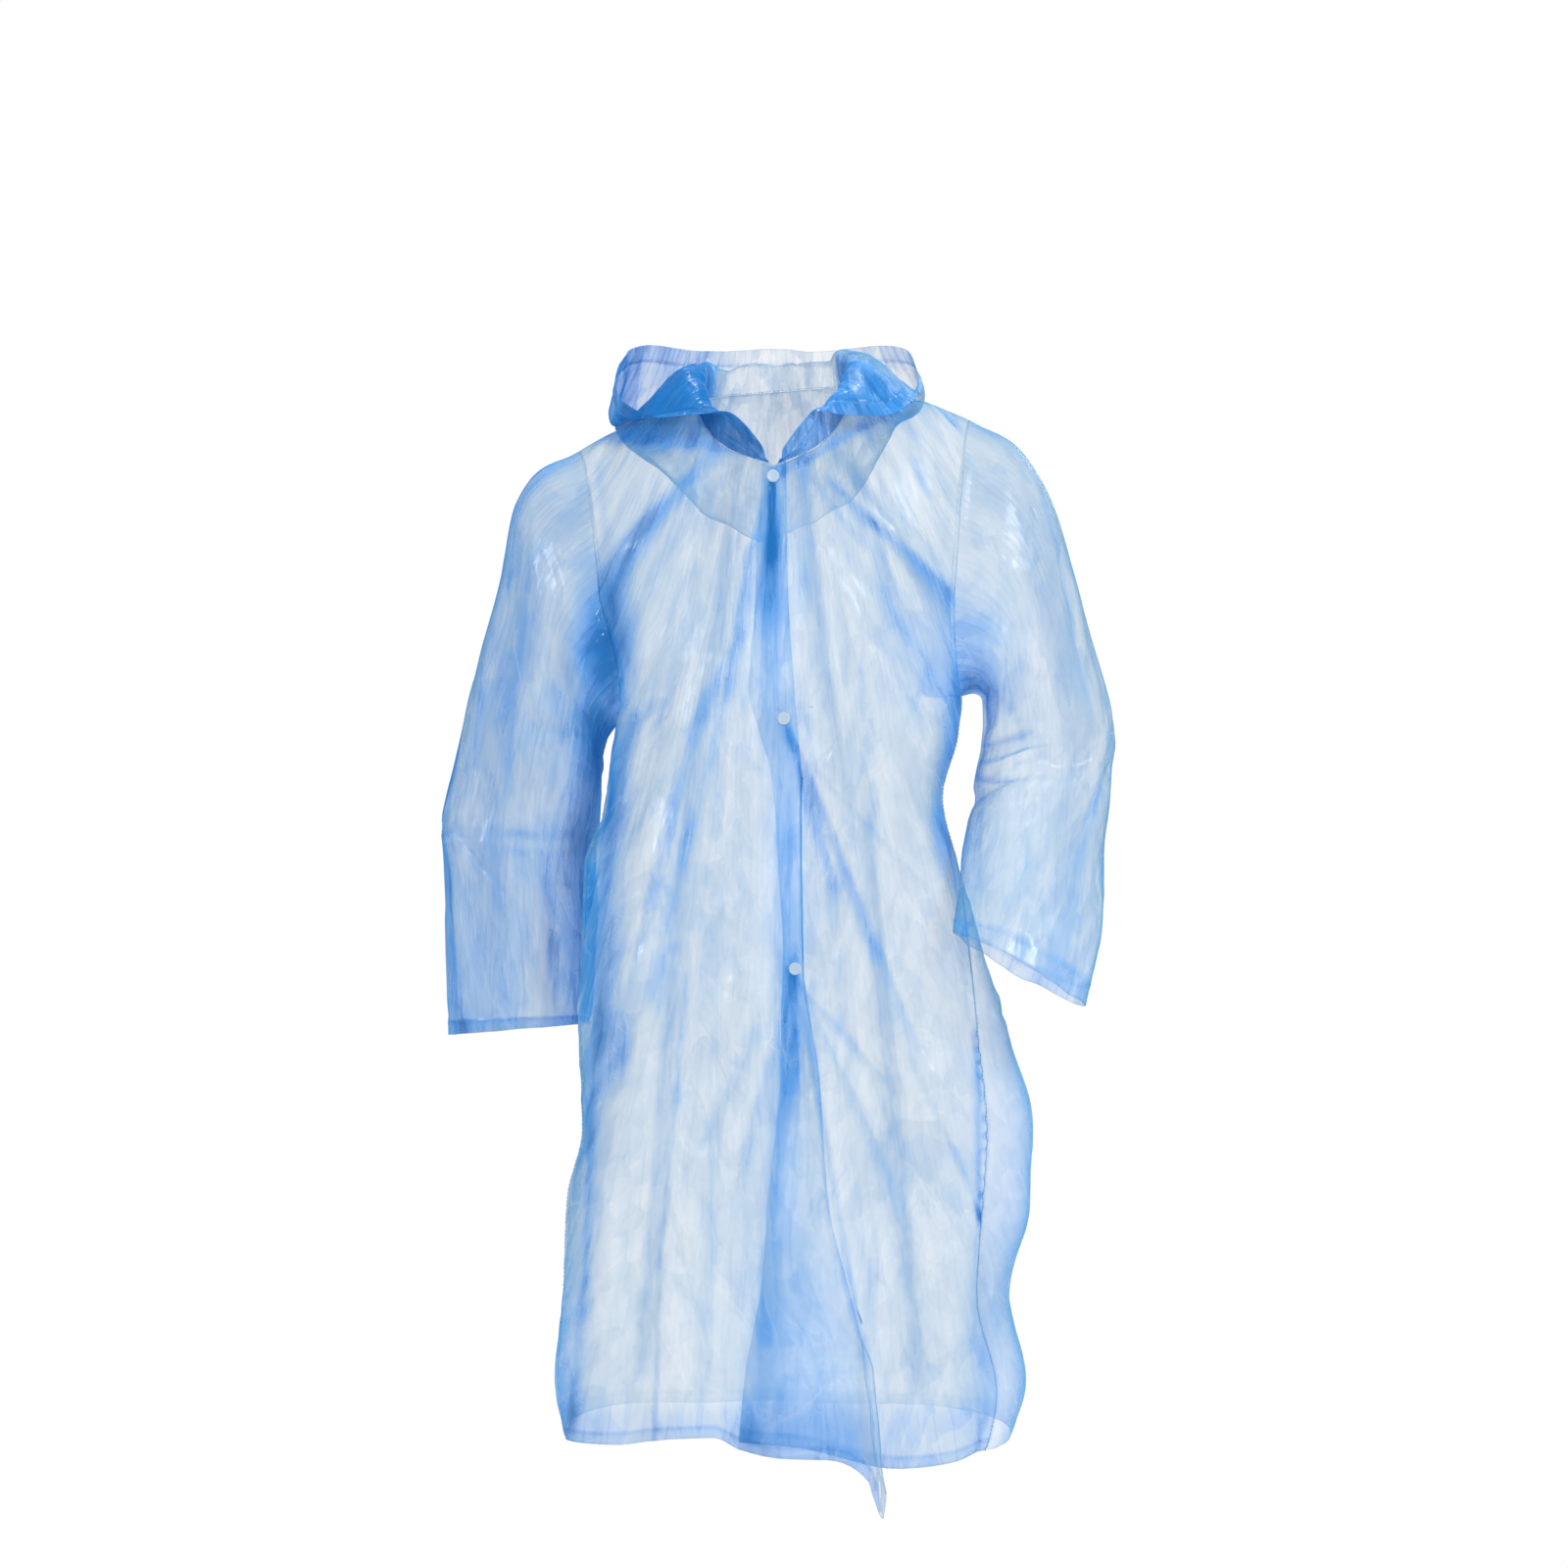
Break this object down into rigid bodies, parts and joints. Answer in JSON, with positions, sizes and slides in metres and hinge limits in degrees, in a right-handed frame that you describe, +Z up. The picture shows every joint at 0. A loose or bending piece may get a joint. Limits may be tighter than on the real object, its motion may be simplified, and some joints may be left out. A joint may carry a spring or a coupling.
{
  "type": "raincoat",
  "caption": "Worn see-through film raincoat with turned-down hood, full sleeves and snap front, open at neck, cuffs and hem.",
  "frame": {"origin": "inside the coat, midway between the shoulders at the height of the neck, where the wearer carries it", "axes": "+Z up along the coat, -Y out of its front, +X towards the wearer's left arm"},
  "size_m": [0.6891, 0.3713, 1.1822],
  "materials": {
    "film": "thin see-through blue polyethylene film, crumpled, glossy",
    "snap_plastic": "moulded milky plastic"
  },
  "bodies": {
    "root": {"back": "film", "front_right": "film", "front_left": "film", "sleeve_right": "film", "sleeve_left": "film", "hood": "film", "snap_neck_cap": "snap_plastic", "snap_neck_socket": "snap_plastic", "snap_neck_back": "snap_plastic", "snap_chest_cap": "snap_plastic", "snap_chest_socket": "snap_plastic", "snap_chest_back": "snap_plastic", "snap_waist_cap": "snap_plastic", "snap_waist_socket": "snap_plastic", "snap_waist_back": "snap_plastic"}
  },
  "joints": []
}
